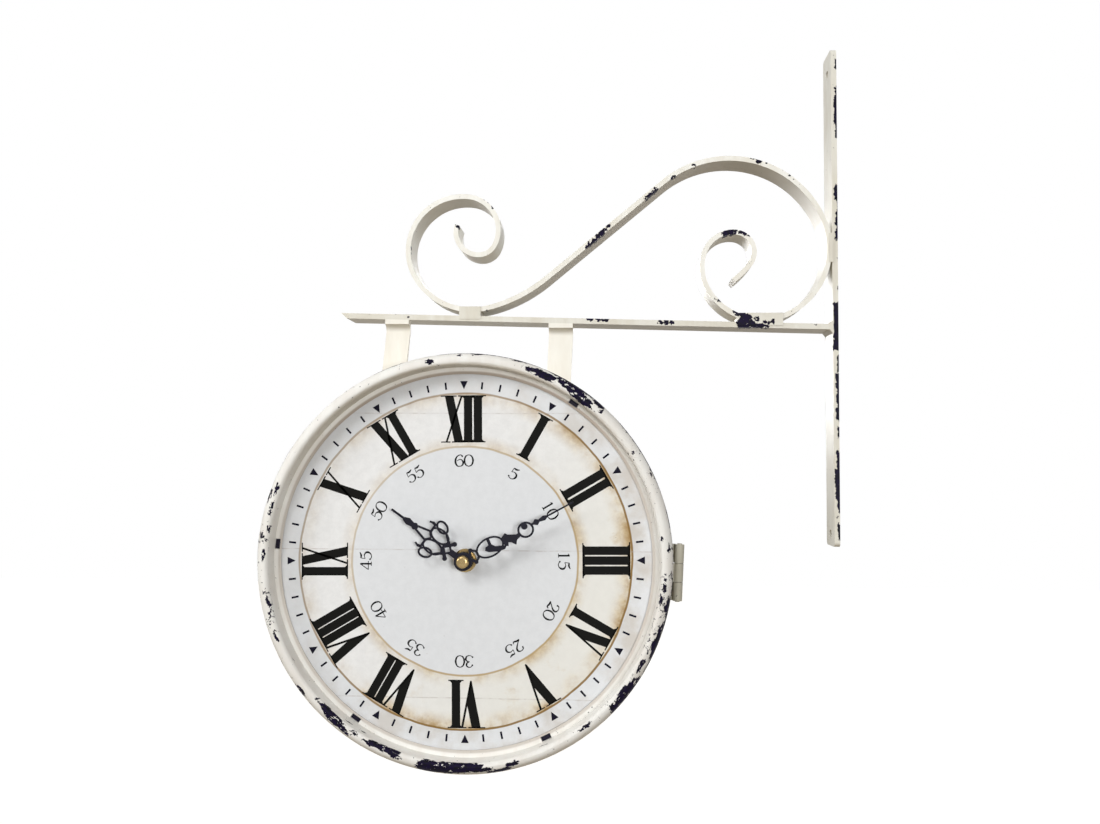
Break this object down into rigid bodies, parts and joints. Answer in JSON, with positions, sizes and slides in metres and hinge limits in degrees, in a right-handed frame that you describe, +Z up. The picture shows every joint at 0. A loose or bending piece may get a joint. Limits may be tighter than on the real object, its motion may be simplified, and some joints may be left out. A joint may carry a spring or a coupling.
{
  "type": "double sided station clock",
  "caption": "Two-faced round wall clock in a sheet-metal drum, hung by straps from a flat-bar wall bracket with a forged S-scroll; hinged front door, quartz movements and geared hands.",
  "frame": {"origin": "on the wall face of the wall bar, midway between its two screw holes", "axes": "+X into the wall, +Z up along the wall bar, +Y from the front dial to the rear dial"},
  "size_m": [0.3129, 0.08, 0.3909],
  "materials": {
    "bracket_paint": "worn cream paint over dark navy base, matt",
    "scroll_paint": "worn cream paint over dark navy base, matt",
    "strap_paint": "worn cream paint, satin",
    "drum_paint": "worn cream paint, matt",
    "rim_paint": "worn cream paint with navy chips, satin",
    "hinge_paint": "greige paint, satin",
    "painted_screw": "cream painted pan head",
    "zinc_steel": "zinc plated",
    "spring_steel": "rolled spring steel",
    "clip_steel": "dark blued sheet steel",
    "dial_print": "printed sheet dial, aged, satin",
    "hand_black": "black paint, satin",
    "brass": "turned, slightly dulled",
    "black_plastic": "moulded, fine texture",
    "white_plastic": "moulded acetal",
    "black_rubber": "matt",
    "copper_wire": "enamelled winding wire",
    "green_board": "solder mask",
    "battery_wrap": "plain shrink sleeve"
  },
  "bodies": {
    "bracket": {"wall_bar": "bracket_paint", "arm_bar": "bracket_paint", "s_scroll": "scroll_paint", "weld_beads": "bracket_paint", "strap_left": "strap_paint", "strap_right": "strap_paint", "strap_screws": "painted_screw", "strap_nuts": "zinc_steel", "drum_band": "drum_paint", "rear_ring": "rim_paint", "rear_ring_screws": "zinc_steel", "hinge_leaf_drum": "hinge_paint", "hinge_pin": "hinge_paint", "hinge_rivets_drum": "hinge_paint", "catch_spring": "spring_steel", "catch_rivets": "zinc_steel", "rear_dial": "dial_print", "rear_dial_clips": "clip_steel", "rear_movement_case": "black_plastic", "rear_movement_cover": "black_plastic", "rear_movement_bush": "brass", "rear_rubber_washer": "black_rubber", "rear_dial_washer": "brass", "rear_dial_nut": "brass", "rear_motor_coil": "copper_wire", "rear_circuit_board": "green_board", "rear_battery_contacts": "spring_steel"},
    "door": {"front_ring": "rim_paint", "hinge_leaf_door": "hinge_paint", "catch_tab": "drum_paint", "front_dial": "dial_print", "front_dial_clips": "clip_steel", "front_movement_case": "black_plastic", "front_movement_cover": "black_plastic", "front_movement_bush": "brass", "front_rubber_washer": "black_rubber", "front_dial_washer": "brass", "front_dial_nut": "brass", "front_motor_coil": "copper_wire", "front_circuit_board": "green_board", "front_battery_contacts": "spring_steel"},
    "front_minutes": {"front_minute_arbor": "white_plastic", "front_minute_hand": "hand_black", "front_cap_nut": "brass"},
    "front_hours": {"front_hour_wheel": "white_plastic", "front_hour_hand": "hand_black"},
    "front_motion": {"front_motion_wheel": "white_plastic"},
    "front_third": {"front_third_wheel": "white_plastic"},
    "front_knob": {"front_setting_knob": "black_plastic"},
    "front_cell": {"front_battery": "battery_wrap"},
    "rear_minutes": {"rear_minute_arbor": "white_plastic", "rear_minute_hand": "hand_black", "rear_cap_nut": "brass"},
    "rear_hours": {"rear_hour_wheel": "white_plastic", "rear_hour_hand": "hand_black"},
    "rear_motion": {"rear_motion_wheel": "white_plastic"},
    "rear_third": {"rear_third_wheel": "white_plastic"},
    "rear_knob": {"rear_setting_knob": "black_plastic"},
    "rear_cell": {"rear_battery": "battery_wrap"}
  },
  "joints": [
    {"name": "door_hinge", "type": "hinge", "parent": "bracket", "child": "door", "pos_m": [-0.08811, -0.03, -0.14683], "axis": [0.0436, 0, 0.999], "range_deg": [0, 100]},
    {"name": "front_minute_turn", "type": "hinge", "parent": "door", "child": "front_minutes", "pos_m": [-0.201, -0.026, -0.1419], "axis": [0, 1, 0], "continuous": true},
    {"name": "front_hour_turn", "type": "hinge", "parent": "door", "child": "front_hours", "pos_m": [-0.201, -0.026, -0.1419], "axis": [0, 1, 0], "continuous": true},
    {"name": "front_motion_turn", "type": "hinge", "parent": "door", "child": "front_motion", "pos_m": [-0.197, -0.0215, -0.13497], "axis": [0, 1, 0], "continuous": true},
    {"name": "front_third_turn", "type": "hinge", "parent": "door", "child": "front_third", "pos_m": [-0.20899, -0.017, -0.14481], "axis": [0, 1, 0], "continuous": true},
    {"name": "front_knob_turn", "type": "hinge", "parent": "door", "child": "front_knob", "pos_m": [-0.197, -0.01, -0.12697], "axis": [0, 1, 0], "continuous": true},
    {"name": "front_battery_out", "type": "slide", "parent": "door", "child": "front_cell", "axis": [0, 1, 0], "range_m": [0, 0.015]},
    {"name": "rear_minute_turn", "type": "hinge", "parent": "bracket", "child": "rear_minutes", "pos_m": [-0.201, 0.026, -0.1419], "axis": [0, -1, 0], "continuous": true},
    {"name": "rear_hour_turn", "type": "hinge", "parent": "bracket", "child": "rear_hours", "pos_m": [-0.201, 0.026, -0.1419], "axis": [0, -1, 0], "continuous": true},
    {"name": "rear_motion_turn", "type": "hinge", "parent": "bracket", "child": "rear_motion", "pos_m": [-0.205, 0.0215, -0.13497], "axis": [0, -1, 0], "continuous": true},
    {"name": "rear_third_turn", "type": "hinge", "parent": "bracket", "child": "rear_third", "pos_m": [-0.19301, 0.017, -0.14481], "axis": [0, -1, 0], "continuous": true},
    {"name": "rear_knob_turn", "type": "hinge", "parent": "bracket", "child": "rear_knob", "pos_m": [-0.205, 0.01, -0.12697], "axis": [0, -1, 0], "continuous": true},
    {"name": "rear_battery_out", "type": "slide", "parent": "bracket", "child": "rear_cell", "axis": [0, -1, 0], "range_m": [0, 0.015]}
  ],
  "couplings": [
    {"joint": "front_hour_turn", "follows": "front_minute_turn", "ratio": 0.083333},
    {"joint": "front_motion_turn", "follows": "front_minute_turn", "ratio": -0.33333},
    {"joint": "front_third_turn", "follows": "front_minute_turn", "ratio": -7.5},
    {"joint": "front_knob_turn", "follows": "front_minute_turn", "ratio": 1},
    {"joint": "rear_hour_turn", "follows": "rear_minute_turn", "ratio": 0.083333},
    {"joint": "rear_motion_turn", "follows": "rear_minute_turn", "ratio": -0.33333},
    {"joint": "rear_third_turn", "follows": "rear_minute_turn", "ratio": -7.5},
    {"joint": "rear_knob_turn", "follows": "rear_minute_turn", "ratio": 1}
  ]
}
